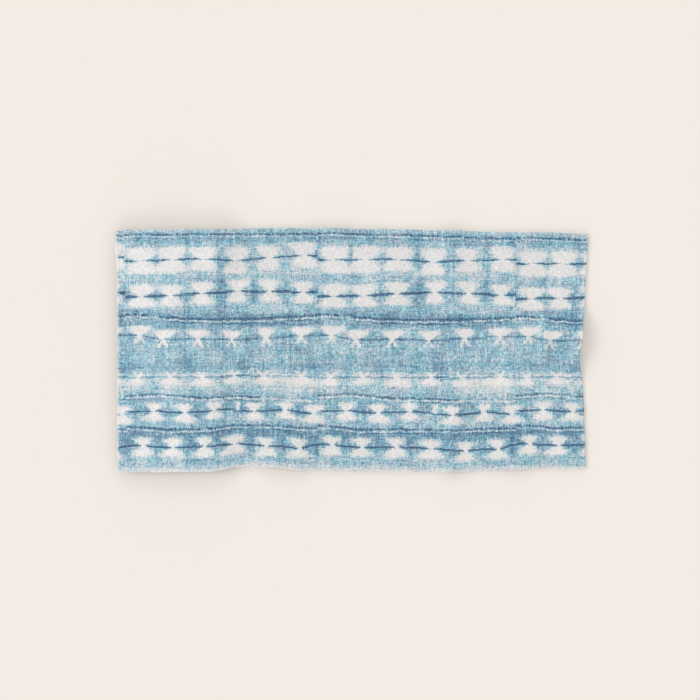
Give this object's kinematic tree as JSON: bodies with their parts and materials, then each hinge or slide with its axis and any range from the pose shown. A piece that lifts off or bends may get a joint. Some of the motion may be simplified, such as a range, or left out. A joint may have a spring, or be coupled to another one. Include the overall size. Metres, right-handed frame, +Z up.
{
  "type": "bath towel",
  "caption": "Rectangular terry bath towel laid out flat with soft fold ridges, a lifted end and a narrow turned hem, for drying the body.",
  "frame": {"origin": "under the middle of the towel, on the surface that it lies on", "axes": "+X along the towel's length, from its lifted end to its plain end; +Y across its width, to the far side; +Z up, out of the printed face"},
  "size_m": [1.4856, 0.77, 0.0302],
  "materials": {
    "terry": "printed cotton terry, matt"
  },
  "bodies": {
    "root": {"towel": "terry"}
  },
  "joints": []
}
